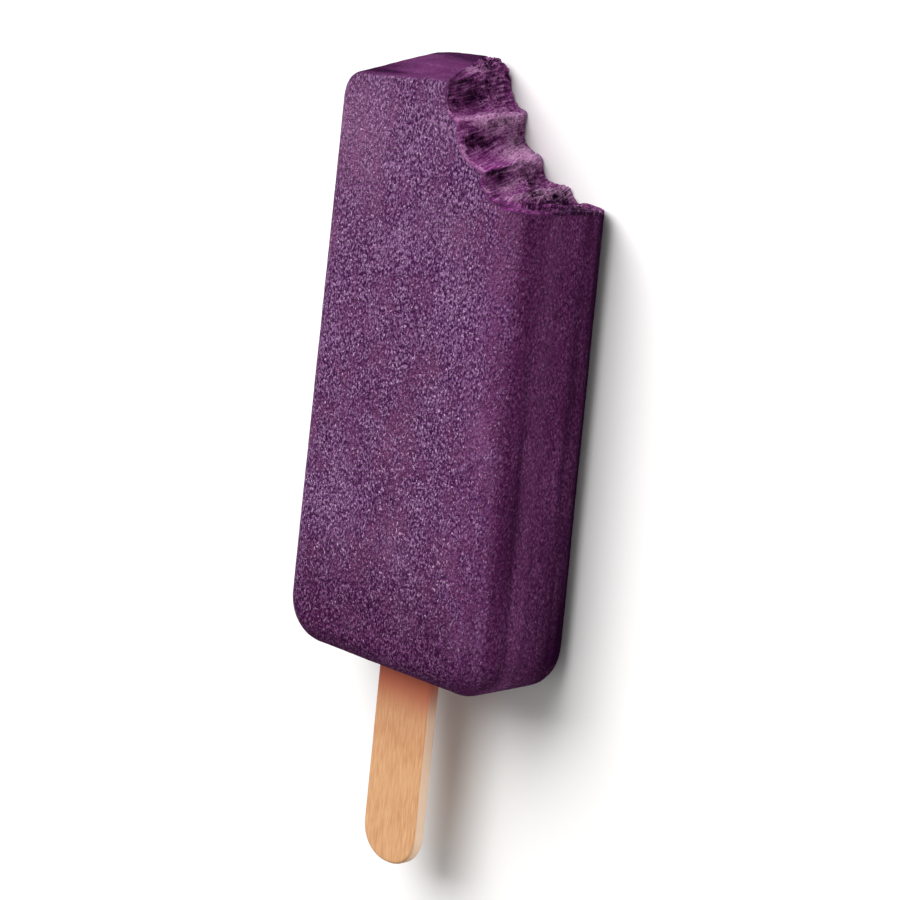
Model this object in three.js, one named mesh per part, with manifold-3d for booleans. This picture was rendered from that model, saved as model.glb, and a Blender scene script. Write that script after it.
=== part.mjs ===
import * as THREE from 'three';
import { mergeVertices } from 'three/addons/utils/BufferGeometryUtils.js';
import Module from 'manifold-3d';

// An ice lolly on a flat wooden stick, with its top right corner bitten off. Millimetres, +Z up.
// It lies on its back face with the front face up. While it is shaped, X runs across the front,
// Y runs from the stick end of the block (0) to the tip, and Z rises from the back face (0).

const { lerp, clamp } = THREE.MathUtils;

// Frozen block: a moulded bar that narrows a little towards the tip
const blockLength = 86.9;
const stickEndWidth = 42.9;
const tipWidth = 40.7;
const stickEndDepth = 19.2;
const tipDepth = 19;
const stickEndCorner = 7;       // corner radii in the front view
const tipFrontCorner = 6.2;
const tipBackCorner = 9.2;
const sideEdge = 4.7;           // radii of the edges round the front and back faces
const stickEndEdge = 4.2;
const tipFrontEdge = 0.8;
const tipBackEdge = 6.2;        // the tip rolls over to the back, and is tighter beside the bite
const biteBackEdge = 3.4;
const tipHump = 2.7;            // the tip rises to its back, most of all here
const tipHumpAt = -9.5;
const tipHumpLeft = 9.8;        // and falls away over these widths
const tipHumpRight = 20;
const tipLean = 0.09;           // its front edge rises to the right of here and drops to the left
const tipLeanFrom = -3;
const sideGroove = 0.27;        // faint hollow beside each long front edge
const sideGrooveWidth = 1.6;

// Bite: ridges between the tooth marks, from the side face to the tip. Each runs through the
// block from its front place to its back place. The scallop after it is hollowed this deep at
// the front and the back, and a lean over 1 moves its deepest point on towards the tip.
const biteRidges = [
  { front: [20, 71.95], back: [20, 71], frontHollow: 0.13, backHollow: 1.2, lean: 2.2 },
  { front: [13.5, 72.75], back: [10.9, 72.8], frontHollow: 1.15, backHollow: 1.8, lean: 1.4 },
  { front: [12, 76.1], back: [5, 76.3], frontHollow: 1.9, backHollow: 2, lean: 1 },
  { front: [5.65, 82.1], back: [1.1, 82], frontHollow: 1.2, backHollow: 1.2, lean: 1 },
  { front: [3, 86.4], back: [-2.7, 86.3], frontHollow: 0, backHollow: -0.35, lean: 1 },
  { front: [2.8, 86.9], back: [-7.2, 86.9] },
];
const biteLip = 0.3;
const frontTeethSink = 0.9;     // how far each row of teeth sinks below the mean bite
const backTeethSink = 0.4;
const shallowMark = 0.4;        // the first and last marks are this much as deep
const seamDepth = 0.44;         // where the two rows met, as a part of the block's depth
const seamWander = 0.06;
const seamWave = 2.3;           // radians for each scallop
const seamHeight = 0.3;
const seamWidth = 0.09;
const cragHeight = 0.15;
const cragWaves = [             // radians for each scallop and through the depth
  { along: 9.1, through: 17 },
  { along: 4.7, through: -23 },
];

// Stick: 114 x 11 x 2, with round ends
const stickLength = 114;
const stickWidth = 11;
const stickThickness = 2;
const stickShown = 31.5;
const stickAcross = -2;         // sits a little left of the middle
const stickEase = 0.45;         // worn edge
const stickEndReach = 5.4;      // how long each round end is
const stickEndFullness = 2.15;  // 2 is an ellipse, more is squarer
const slotGap = 0.3;

// How finely the surfaces are divided
const straightSteps = 9;
const cornerSteps = 8;
const scallopSteps = 9;
const lastScallopSteps = 5;
const edgeSteps = 4;
const depthSteps = 10;
const stickEndSteps = 16;
const easeSteps = 2;

const quarterTurn = Math.PI / 2;

const iceMaterial = new THREE.MeshStandardMaterial({
  name: 'frozen_berry_ice',
  color: 0x6f3f6c,
  roughness: 0.55,
  metalness: 0,
});

const woodMaterial = new THREE.MeshStandardMaterial({
  name: 'pale_birch_wood',
  color: 0xd8a878,
  roughness: 0.7,
  metalness: 0,
});

function halfWidthAt(y) {
  return lerp(stickEndWidth, tipWidth, y / blockLength) / 2;
}

function depthAt(y) {
  return lerp(stickEndDepth, tipDepth, y / blockLength);
}

// One point of the outline: its place, how far it draws in at a rounded edge, and that radius
function outlinePoint(x, y, inX, inY, radius) {
  return { x, y, inX: inX * radius, inY: inY * radius, radius };
}

function straightStretch(from, to, inX, inY, radius, lastRadius = radius) {
  const points = [];
  for (let i = 0; i < straightSteps; i++) {
    const t = i / straightSteps;
    const x = lerp(from[0], to[0], t);
    const y = lerp(from[1], to[1], t);
    points.push(outlinePoint(x, y, inX, inY, lerp(radius, lastRadius, t)));
  }
  return points;
}

// A quarter turn from startAngle, whose edge radius blends between the side's and the end's
function cornerStretch(centre, radius, startAngle, endEdge) {
  const points = [];
  for (let i = 0; i < cornerSteps; i++) {
    const angle = startAngle + (i / cornerSteps) * quarterTurn;
    const across = Math.cos(angle);
    const along = Math.sin(angle);
    const edge = lerp(sideEdge, endEdge, along * along);
    points.push(outlinePoint(
      centre[0] + radius * across, centre[1] + radius * along, across, along, edge));
  }
  return points;
}

// The bite seen on one face. Near the side face and the tip its points draw in with the
// rounded edges they meet, and elsewhere they keep a crisp lip.
function biteStretch(faceName, tipEdge) {
  const ridges = biteRidges.map((ridge) => ridge[faceName].slice());
  ridges[0][0] = halfWidthAt(ridges[0][1]);
  const lastScallop = ridges.length - 2;
  const [sideEnd, sideStart] = ridges;
  const tipStart = ridges[3];
  const tipEnd = ridges[lastScallop + 1];
  const points = [];
  for (let k = 0; k <= lastScallop; k++) {
    const from = new THREE.Vector2(...ridges[k]);
    const to = new THREE.Vector2(...ridges[k + 1]);
    const inward = to.clone().sub(from).normalize().rotateAround(new THREE.Vector2(), quarterTurn);
    const hollow = biteRidges[k][faceName + 'Hollow'];
    const { lean } = biteRidges[k];
    const steps = k < lastScallop ? scallopSteps : lastScallopSteps;
    for (let i = 0; i < steps; i++) {
      const t = i / steps;
      const sink = hollow * Math.sin(Math.PI * t ** lean);
      const place = from.clone().lerp(to, t).addScaledVector(inward, sink);
      const nearSide = clamp((place.x - sideStart[0]) / (sideEnd[0] - sideStart[0]), 0, 1);
      const nearTip = clamp((place.y - tipStart[1]) / (tipEnd[1] - tipStart[1]), 0, 1);
      const lip = biteLip * (1 - nearSide) * (1 - nearTip);
      points.push({
        x: place.x,
        y: place.y,
        inX: sideEdge * nearSide - inward.x * lip,
        inY: tipEdge * nearTip - inward.y * lip,
        radius: biteLip + (sideEdge - biteLip) * nearSide + (tipEdge - biteLip) * nearTip,
        outX: -inward.x,
        outY: -inward.y,
        inScallop: Math.sin(Math.PI * t),
        alongBite: k + t,
        toothed: k > 0 && k < lastScallop ? 1 : shallowMark,
        nearTip,
      });
    }
  }
  return points;
}

// The block's outline on its back or its front face, anticlockwise from below left
function blockOutline(faceName) {
  const tipEdge = faceName === 'front' ? tipFrontEdge : tipBackEdge;
  const biteEdge = faceName === 'front' ? tipFrontEdge : biteBackEdge;
  const tipCorner = faceName === 'front' ? tipFrontCorner : tipBackCorner;
  const low = stickEndCorner;
  const high = blockLength - tipCorner;
  const lowX = halfWidthAt(low);
  const highX = halfWidthAt(high);
  const biteSideY = biteRidges[0][faceName][1];
  const biteTip = biteRidges[biteRidges.length - 1][faceName];
  return [
    ...straightStretch([-lowX + low, 0], [lowX - low, 0], 0, -1, stickEndEdge),
    ...cornerStretch([lowX - low, low], low, -quarterTurn, stickEndEdge),
    ...straightStretch([lowX, low], [halfWidthAt(biteSideY), biteSideY], 1, 0, sideEdge),
    ...biteStretch(faceName, biteEdge),
    ...straightStretch(biteTip, [-highX + tipCorner, blockLength], 0, 1, biteEdge, tipEdge),
    ...cornerStretch([-highX + tipCorner, high], tipCorner, quarterTurn, tipEdge),
    ...straightStretch([-highX, high], [-lowX, low], -1, 0, sideEdge),
    ...cornerStretch([-lowX + low, low], low, 2 * quarterTurn, stickEndEdge),
  ];
}

// How far a point of the bite stands out at part w of the depth: each row of teeth leaves a
// hollow, the rows meet in a wandering seam, and torn crags run over both
function biteRelief(point, w) {
  const seam = seamDepth + seamWander * Math.sin(seamWave * point.alongBite);
  const intoRow = w < seam ? w / seam : (1 - w) / (1 - seam);
  const teethSink = w < seam ? backTeethSink : frontTeethSink;
  const hollow = teethSink * Math.sin(Math.PI * intoRow) * point.inScallop;
  const fromSeam = (w - seam) / seamWidth;
  const ridge = seamHeight * Math.exp(-fromSeam * fromSeam);
  const waves = cragWaves.map(({ along, through }) => (
    Math.sin(along * point.alongBite + through * w)));
  const crag = cragHeight * waves[0] * waves[1] * Math.sin(Math.PI * w);
  return point.toothed * (ridge - hollow) + crag;
}

// How far a place near the tip rises: the hump grows in a curve from the front to the back,
// and the lean from the back to the front
function tipRise(x, y, w) {
  const besideHump = (x - tipHumpAt) / (x < tipHumpAt ? tipHumpLeft : tipHumpRight);
  const hump = tipHump * Math.exp(-besideHump * besideHump) * Math.sin((1 - w) * quarterTurn);
  const lean = w * tipLean * (x - tipLeanFrom);
  const reach = clamp((y - (blockLength - tipBackCorner)) / tipBackCorner, 0, 1);
  return reach * (hump + lean);
}

// The faint hollow runs along the side where the front's rounded edge begins
function grooveSink(z, depth) {
  const fromGroove = (depth - sideEdge - z) / sideGrooveWidth;
  return sideGroove * Math.exp(-fromGroove * fromGroove);
}

// A point of the skin at height z, between a pair of outline points on the back and the front,
// drawn in by a part of its edge radius
function skinPoint(backPoint, frontPoint, z, depth, drawIn) {
  const w = clamp(z / depth, 0, 1);
  const mix = (key) => lerp(backPoint[key], frontPoint[key], w);
  let x = mix('x') - mix('inX') * drawIn;
  let y = mix('y') - mix('inY') * drawIn;
  if (frontPoint.toothed) {
    const relief = biteRelief(frontPoint, w);
    x += mix('outX') * relief;
    y += mix('outY') * relief + tipRise(x, blockLength, w) * mix('nearTip');
  } else {
    y += tipRise(x, y, w);
    x -= (frontPoint.inX / frontPoint.radius) * grooveSink(z, depth);
  }
  return new THREE.Vector3(x, y, z);
}

// Rings of points from the back face to the front face, with both rims rounded
function blockRings() {
  const back = blockOutline('back');
  const front = blockOutline('front');
  const rings = [];
  const addRing = (heightAt, drawIn) => rings.push(back.map((backPoint, i) => {
    const depth = depthAt(front[i].y);
    const z = heightAt(backPoint.radius, depth - front[i].radius, front[i].radius);
    return skinPoint(backPoint, front[i], z, depth, drawIn);
  }));
  for (let j = edgeSteps; j >= 0; j--) {
    const angle = (j / edgeSteps) * quarterTurn;
    addRing((low) => low * (1 - Math.sin(angle)), 1 - Math.cos(angle));
  }
  for (let j = 1; j < depthSteps; j++) {
    addRing((low, high) => lerp(low, high, j / depthSteps), 0);
  }
  for (let j = 0; j <= edgeSteps; j++) {
    const angle = (j / edgeSteps) * quarterTurn;
    addRing((low, high, radius) => high + radius * Math.sin(angle), 1 - Math.cos(angle));
  }
  return rings;
}

// A closed surface over the rings, with flat faces across the first and the last
function closedSkin(rings) {
  const count = rings[0].length;
  const positions = rings.flat().flatMap((p) => [p.x, p.y, p.z]);
  const indices = [];
  for (let j = 0; j < rings.length - 1; j++) {
    for (let i = 0; i < count; i++) {
      const a = j * count + i;
      const b = j * count + (i + 1) % count;
      indices.push(a, b, b + count, a, b + count, a + count);
    }
  }
  const flat = (ring) => ring.map((p) => new THREE.Vector2(p.x, p.y));
  for (const [a, b, c] of THREE.ShapeUtils.triangulateShape(flat(rings[0]), [])) {
    indices.push(a, c, b);
  }
  const lastRing = (rings.length - 1) * count;
  for (const [a, b, c] of THREE.ShapeUtils.triangulateShape(flat(rings.at(-1)), [])) {
    indices.push(lastRing + a, lastRing + b, lastRing + c);
  }
  const geometry = new THREE.BufferGeometry();
  geometry.setAttribute('position', new THREE.Float32BufferAttribute(positions, 3));
  geometry.setIndex(indices);
  return geometry;
}

// A flat bar with two full round ends, lying along Y, its middle plane at z = 0
function roundEndedBar(length, width, thickness, ease) {
  const power = 2 / stickEndFullness;
  const outline = [];
  for (const side of [1, -1]) {
    for (let i = 0; i <= stickEndSteps; i++) {
      const angle = (i / stickEndSteps) * 2 * quarterTurn;
      const across = Math.sign(Math.cos(angle)) * Math.abs(Math.cos(angle)) ** power;
      const along = length / 2 - stickEndReach + (stickEndReach - ease) * Math.sin(angle) ** power;
      outline.push(new THREE.Vector2(side * (width / 2 - ease) * across, side * along));
    }
  }
  const bar = new THREE.ExtrudeGeometry(new THREE.Shape(outline), {
    depth: thickness - 2 * ease,
    bevelEnabled: ease > 0,
    bevelThickness: ease,
    bevelSize: ease,
    bevelSegments: easeSteps,
  });
  bar.translate(0, 0, ease - thickness / 2);
  return bar;
}

function positionOnly(geometry) {
  const bare = geometry.clone();
  bare.deleteAttribute('normal');
  bare.deleteAttribute('uv');
  return mergeVertices(bare);
}

const wasm = await Module();
wasm.setup();

function toSolid(geometry) {
  const bare = positionOnly(geometry);
  return new wasm.Manifold(new wasm.Mesh({
    numProp: 3,
    vertProperties: new Float32Array(bare.attributes.position.array),
    triVerts: new Uint32Array(bare.index.array),
  }));
}

function toGeometry(solid) {
  const { vertProperties, triVerts } = solid.getMesh();
  const geometry = new THREE.BufferGeometry();
  geometry.setAttribute('position', new THREE.Float32BufferAttribute(vertProperties, 3));
  geometry.setIndex(new THREE.Uint32BufferAttribute(triVerts, 1));
  geometry.computeVertexNormals();
  return geometry;
}

const stickMiddleY = stickLength / 2 - stickShown;
const stickHeight = stickEndDepth / 2;

// The block is frozen round the stick, so it has a slot for it
function makeIceBlock() {
  const slotWidth = stickWidth + 2 * slotGap;
  const slotThickness = stickThickness + 2 * slotGap;
  const slot = roundEndedBar(stickLength + 2 * slotGap, slotWidth, slotThickness, 0);
  slot.translate(stickAcross, stickMiddleY, stickHeight);
  const solid = toSolid(closedSkin(blockRings())).subtract(toSolid(slot));
  const block = new THREE.Mesh(toGeometry(solid), iceMaterial);
  block.name = 'ice_block';
  return block;
}

function makeStick() {
  const bar = positionOnly(roundEndedBar(stickLength, stickWidth, stickThickness, stickEase));
  bar.computeVertexNormals();
  const stick = new THREE.Mesh(bar, woodMaterial);
  stick.name = 'stick';
  stick.position.set(stickAcross, stickMiddleY, stickHeight);
  return stick;
}

const lolly = new THREE.Group();
lolly.add(makeIceBlock(), makeStick());

// The origin is the middle of the bottom of the whole lolly's box
const box = new THREE.Box3().setFromObject(lolly);
const middle = box.getCenter(new THREE.Vector3());
lolly.position.set(-middle.x, -middle.y, -box.min.z);

export default lolly;
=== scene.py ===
import math

import bpy
import numpy as np
from mathutils import Matrix, Vector, noise
from mathutils.geometry import delaunay_2d_cdt


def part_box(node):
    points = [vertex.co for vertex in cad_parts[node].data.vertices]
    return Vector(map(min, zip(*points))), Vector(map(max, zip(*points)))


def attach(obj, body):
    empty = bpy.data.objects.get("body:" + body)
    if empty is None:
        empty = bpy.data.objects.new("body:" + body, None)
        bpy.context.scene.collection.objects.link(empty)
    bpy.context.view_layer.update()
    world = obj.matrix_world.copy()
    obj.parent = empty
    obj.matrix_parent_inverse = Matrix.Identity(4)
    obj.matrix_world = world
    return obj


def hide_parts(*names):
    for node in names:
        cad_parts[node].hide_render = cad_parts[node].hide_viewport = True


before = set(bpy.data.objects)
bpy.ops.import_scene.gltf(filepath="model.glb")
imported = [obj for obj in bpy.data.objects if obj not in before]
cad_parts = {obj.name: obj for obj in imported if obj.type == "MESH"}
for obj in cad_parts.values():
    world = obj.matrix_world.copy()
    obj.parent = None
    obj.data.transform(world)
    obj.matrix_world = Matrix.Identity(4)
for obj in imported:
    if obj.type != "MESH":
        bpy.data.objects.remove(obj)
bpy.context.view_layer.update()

# A bitten berry ice lolly lying on its back. Shapes are in millimetres, and go to metres once,
# when each mesh is made. +Y runs from the stick to the tip and +Z from the back to the front.

mm = 0.001
seedSpacing = 17.3                # keeps noise of different seeds apart
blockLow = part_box("ice_block")[0]
stickLow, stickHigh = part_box("stick")
stickCentre = (stickLow + stickHigh) / 2 / mm
blockStart = blockLow.y / mm      # the block's stick end
tolerance = 1e-6
print("frame loaded")


# Colours, nodes and meshes

def linear(hexCode):
    parts = [int(hexCode[i:i + 2], 16) / 255 for i in (1, 3, 5)]
    return [c / 12.92 if c <= 0.04045 else ((c + 0.055) / 1.055) ** 2.4 for c in parts] + [1]


def addNode(tree, kind, sockets=None, stops=None, **settings):
    node = tree.nodes.new("ShaderNode" + kind)
    for name, value in settings.items():
        setattr(node, name, value)
    for name, value in (sockets or {}).items():
        if isinstance(value, bpy.types.NodeSocket):
            tree.links.new(value, node.inputs[name])
        else:
            node.inputs[name].default_value = value
    for i, (place, hexCode) in enumerate(stops or []):
        elements = node.color_ramp.elements
        stop = elements[i] if i < 2 else elements.new(place)
        stop.position = place
        stop.color = linear(hexCode)
    return node


def perPitch(size):
    return 1 / (size * mm)      # texture scale for a pattern that repeats every size mm


def texture(tree, vector, pitch, detail):
    return addNode(tree, "TexNoise", {
        "Vector": vector, "Scale": perPitch(pitch), "Detail": detail, "Roughness": 0.6}).outputs[0]


def stretch(tree, vector, along):
    return addNode(tree, "VectorMath", {0: vector, 1: (1, along, 1)}, operation="MULTIPLY").outputs[0]


def combine(tree, operation, a, b):
    return addNode(tree, "Math", {0: a, 1: b}, operation=operation).outputs[0]


def ranged(tree, value, low, high, outLow=0, outHigh=1, curve="LINEAR"):
    return addNode(tree, "MapRange", {
        "Value": value, "From Min": low, "From Max": high, "To Min": outLow, "To Max": outHigh},
        interpolation_type=curve).outputs[0]


def mix(tree, amount, a, b):
    return addNode(tree, "Mix", {0: amount, 6: a, 7: b}, data_type="RGBA").outputs[2]


def ramp(tree, value, stops):
    return addNode(tree, "ValToRGB", {0: value}, stops=stops).outputs[0]


def newMaterial(name):
    material = bpy.data.materials.new(name)
    material.use_nodes = True
    material.node_tree.nodes.clear()
    return material, material.node_tree


def newPiece(name, points, faces, material):
    mesh = bpy.data.meshes.new(name)
    mesh.from_pydata((np.asarray(points) * mm).tolist(), [], faces)
    mesh.validate()
    mesh.polygons.foreach_set("use_smooth", [True] * len(mesh.polygons))
    mesh.materials.append(material)
    piece = bpy.data.objects.new(name, mesh)
    bpy.context.scene.collection.objects.link(piece)
    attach(piece, "root")
    return piece


def smoothStep(value, low, high):
    t = np.clip((value - low) / (high - low), 0, 1)
    return t * t * (3 - 2 * t)


def bell(value, middle, width):
    return np.exp(-((value - middle) / width) ** 2)


# Noise from -1 to 1 at each point, with its own pitch in mm along each axis
def noiseAt(points, pitch, octaves, seed):
    scaled = points / np.asarray(pitch, float) + seed * seedSpacing
    return np.array([noise.fractal(Vector(p), 1, 2, octaves) for p in scaled])


# Ice block

block = {
    "length": 86.9,
    "stickEndWidth": 42.9,
    "tipWidth": 40.7,
    "stickEndDepth": 19.2,
    "tipDepth": 19.0,
    "stickEndCorner": 7.0,
    "tipCorner": {"front": 6.2, "back": 9.2},
    "sideEdge": 4.7,            # radii of the edges round the front and back
    "stickEndEdge": 4.2,
    "tipEdge": {"front": 0.5, "back": 6.2},     # the tip rolls over to the back
    "biteEdge": {"front": 0.5, "back": 3.4},    # and is tighter beside the bite
    "tipHump": 2.7,             # how far the tip rises towards its back
    "tipHumpAt": -9.5,
    "tipHumpLeft": 9.8,         # it falls away over these widths
    "tipHumpRight": 20,
    "tipLean": 0.09,            # at its front the tip's edge rises to the right of here
    "tipLeanFrom": -3,
    "sideGroove": 0.27,
    "sideGrooveWidth": 1.6,
    "step": 0.65,               # spacing of mesh points along the outline
    "cornerSteps": 20,
    "biteStep": 0.14,
    "rings": 104,               # from the back face to the front face
    "frontStep": 0.42,
    "backStep": 0.8,
    "rimGap": 0.5,              # points on the flat faces keep this many steps from the rim
    "iceOverStick": 0.35,       # the bite never bares the stick
}

# Ridges between the tooth marks, from the side to the tip, at the front and at the back, and how
# deep the scallop after each is
bite = {
    "ridges": [
        {"front": (20, 71.95), "back": (20, 71), "hollow": {"front": 0.13, "back": 1.2}, "lean": 2.2},
        {"front": (13.5, 72.75), "back": (10.9, 72.8), "hollow": {"front": 1.15, "back": 1.8}, "lean": 1.4},
        {"front": (12, 76.1), "back": (5, 76.3), "hollow": {"front": 1.9, "back": 2}, "lean": 1},
        {"front": (5.65, 82.1), "back": (1.1, 82), "hollow": {"front": 1.2, "back": 1.2}, "lean": 1},
        {"front": (3, 86.4), "back": (-2.7, 86.3), "hollow": {"front": 0, "back": -0.35}, "lean": 1},
        {"front": (2.8, 86.9), "back": (-7.2, 86.9)},
    ],
    "lip": 0.3,
    "frontTeethSink": 0.9,
    "backTeethSink": 0.4,
    "shallowMark": 0.4,
    "seamDepth": 0.44,
    "seamWander": 0.06,
    "seamWave": 2.3,
    "seamHeight": 0.3,
    "seamWidth": 0.09,
    "softening": 6,             # passes that round the ridges
    "arcOverChord": 1.15,       # a scallop is longer than the line between its ridges
}

# What the teeth left, place by place. A place is (scallop, part of the depth from the back), and
# sink is in mm, below zero for a lump. Frost is torn white ice with painted highlights on the
# ridges, and dark is painted shade in the hollows and under the ridges.
marks = [
    {"from": (0, 0.6), "to": (0.5, 0.38), "reach": (0.42, 0.2), "sink": 0, "dark": 1},
    {"from": (0.1, 0.96), "to": (0.95, 0.95), "reach": (0.3, 0.07), "sink": 0, "dark": 0.5},
    {"from": (0.3, 0.72), "to": (0.75, 0.6), "reach": (0.26, 0.13), "sink": 0.5, "dark": 0.6},
    {"from": (0.72, 0.5), "to": (0.98, 0.42), "reach": (0.1, 0.04), "sink": -0.25, "frost": 0.5},
    {"from": (0.05, 0.42), "to": (0.6, 0.1), "reach": (0.1, 0.02), "sink": -0.15, "frost": 0.3},
    {"from": (0, 0.3), "to": (0.75, 0.22), "reach": (0.33, 0.2), "sink": 0.1, "dark": 0.8},
    {"from": (0.85, 0.85), "to": (0.97, 0.62), "reach": (0.08, 0.08), "sink": -0.1, "frost": 0.5},
    {"from": (0.93, 0.42), "to": (0.96, 0.08), "reach": (0.14, 0.09), "sink": -0.2, "frost": 1.2},
    {"from": (0.9, 0.84), "to": (1.3, 0.71), "reach": (0.14, 0.06), "sink": -0.2, "frost": 0.18},
    {"from": (1.3, 0.97), "to": (1.4, 0.93), "reach": (0.12, 0.04), "sink": 0, "frost": 0.5},
    {"from": (1.3, 0.71), "to": (1.65, 0.46), "reach": (0.15, 0.09), "sink": -0.15, "frost": 0.5},
    {"from": (1.22, 0.86), "to": (1.3, 0.83), "reach": (0.1, 0.04), "sink": 0.2, "dark": 0.5},
    {"from": (1.15, 0.46), "to": (1.62, 0.22), "reach": (0.16, 0.06), "sink": 0.25, "dark": 0.65},
    {"from": (1.86, 0.84), "to": (1.87, 0.64), "reach": (0.11, 0.08), "sink": 0.75, "dark": 1},
    {"from": (1.62, 0.66), "to": (1.75, 0.64), "reach": (0.1, 0.05), "sink": 0.25, "dark": 0.6},
    {"from": (1.76, 0.34), "to": (1.76, 0.31), "reach": (0.1, 0.05), "sink": 0.45, "dark": 0.9},
    {"from": (1.5, 0.15), "to": (1.72, 0.1), "reach": (0.2, 0.06), "sink": 0.1, "dark": 0.35},
    {"from": (1.78, 0.23), "to": (1.84, 0.22), "reach": (0.1, 0.06), "sink": -0.1, "frost": 0.3},
    {"from": (1.93, 0.52), "to": (1.97, 0.1), "reach": (0.1, 0.1), "sink": -0.1, "frost": 0.3},
    {"from": (2.1, 0.97), "to": (2.14, 0.6), "reach": (0.08, 0.08), "sink": -0.1, "frost": -0.1},
    {"from": (2.08, 0.98), "to": (2.14, 0.95), "reach": (0.08, 0.04), "sink": 0, "frost": 0.5},
    {"from": (2.18, 0.44), "to": (2.16, 0.08), "reach": (0.23, 0.08), "sink": -0.25, "frost": 0.85},
    {"from": (2.3, 0.2), "to": (2.6, 0.16), "reach": (0.14, 0.1), "sink": -0.15, "frost": 0.9},
    {"from": (2.42, 0.9), "to": (2.42, 0.66), "reach": (0.22, 0.14), "sink": 0.15, "frost": 0.02},
    {"from": (2.36, 0.95), "to": (2.6, 0.96), "reach": (0.14, 0.05), "sink": 0, "frost": 0.6},
    {"from": (2.72, 0.8), "to": (2.7, 0.62), "reach": (0.13, 0.08), "sink": 0.6, "dark": 0.9},
    {"from": (2.6, 0.5), "to": (2.8, 0.46), "reach": (0.15, 0.06), "sink": 0.15, "dark": 0.5},
    {"from": (2.5, 0.12), "to": (2.7, 0.08), "reach": (0.14, 0.03), "sink": 0.2, "dark": 0.25},
    {"from": (3.08, 0.97), "to": (3.1, 0.7), "reach": (0.1, 0.09), "sink": -0.1, "frost": 0.45},
    {"from": (2.98, 0.66), "to": (2.94, 0.42), "reach": (0.14, 0.09), "sink": -0.25, "frost": 0.8},
    {"from": (2.93, 0.34), "to": (2.92, 0.1), "reach": (0.14, 0.09), "sink": -0.1, "frost": 1},
    {"from": (3.6, 0.92), "to": (3.66, 0.58), "reach": (0.24, 0.14), "sink": 0.4, "dark": 0.55},
    {"from": (3.6, 0.5), "to": (3.7, 0.25), "reach": (0.22, 0.14), "sink": 0.2, "dark": 0.4},
    {"from": (3.4, 0.99), "to": (3.75, 0.97), "reach": (0.12, 0.025), "sink": -0.05, "frost": 0.5},
    {"from": (3.95, 0.9), "to": (4.1, 0.64), "reach": (0.3, 0.13), "sink": 0, "dark": 0.5},
    {"from": (4, 0.8), "to": (4.03, 0.64), "reach": (0.07, 0.08), "sink": 0.1, "dark": 0.5},
    {"from": (4.95, 0.97), "to": (5, 0.92), "reach": (0.25, 0.05), "sink": 0, "frost": 0.3},
    {"from": (4.35, 0.52), "to": (4.9, 0.56), "reach": (0.26, 0.08), "sink": -0.1, "frost": 0.6},
    {"from": (4.2, 0.32), "to": (5, 0.22), "reach": (0.3, 0.13), "sink": 0.25, "dark": 0.85},
    {"from": (4.3, 0.05), "to": (5, 0.05), "reach": (0.3, 0.1), "sink": 0, "dark": 0.6},
    {"from": (4.4, 0.15), "to": (4.42, 0.13), "reach": (0.1, 0.03), "sink": -0.15, "frost": 0.4},
]

# Relief of the ice, in mm where nothing else is said
frost = {
    "least": 0.02,
    "swell": 0.12,              # slow unevenness of the faces
    "swellPitch": (11, 17, 11),
    "bumps": 0.07,
    "bumpPitch": (1.1, 1.9, 1.1),
    "lostInBite": 0.6,          # part of the two that the bite has taken away
    "striation": 0.2,           # fine lines that the teeth drew from the front to the back
    "striationPitch": (0.55, 6, 1),
    "striationLevel": 0.3,
    "scallopWidth": 6.5,
    "slantPlaces": (0.8, 1.3, 2.5, 3),      # in scallops along the bite
    "slants": (0.64, 0.24, 0.1, 0),         # how far the lines lean there
    "crumbs": 0.48,
    "crumbPitch": 1.4,
    "smoothPart": (0.62, 0.42),     # crumbs fade between these parts of the depth
    "smoothCrumbs": 0.35,       # part of them left at the front
    "frontLip": (1, 0.93),      # parts of the depth over which all relief fades at the faces
    "backLip": (-0.02, 0.06),
    "sidePart": (0, 0.5),       # and in scallops along the bite, where it meets the side
    "sideRelief": 0.3,          # part of the relief left there
    "splinters": 0.42,          # finer crumbs where the ice is torn
    "splinterPitch": 0.6,
    "splinterLevel": 0.25,
    "edgeNibble": 0.8,          # marks break up by this much at their edges
}

# How torn (pale) and dark the bitten ice is away from the marks. The relief shares paint the
# lumps paler as painted highlight and the hollows darker as painted shade
biteTones = {
    "torn": -0.1,
    "tornCrumbs": 0.08,
    "tornLines": 0.25,
    "tornAtSide": -0.16,
    "sidePart": (1, 0.6),       # in scallops along the bite
    "reliefHighlight": 0.4,
    "dark": -0.07,
    "darkLines": 0.4,
    "reliefShade": 0.5,
    "reliefShadeLevel": 0.05,
    "splinterRelief": 0.8,
    "crumbly": {"level": 0.25, "rough": 0.6, "torn": 0.5, "least": 0.3},
}
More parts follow.
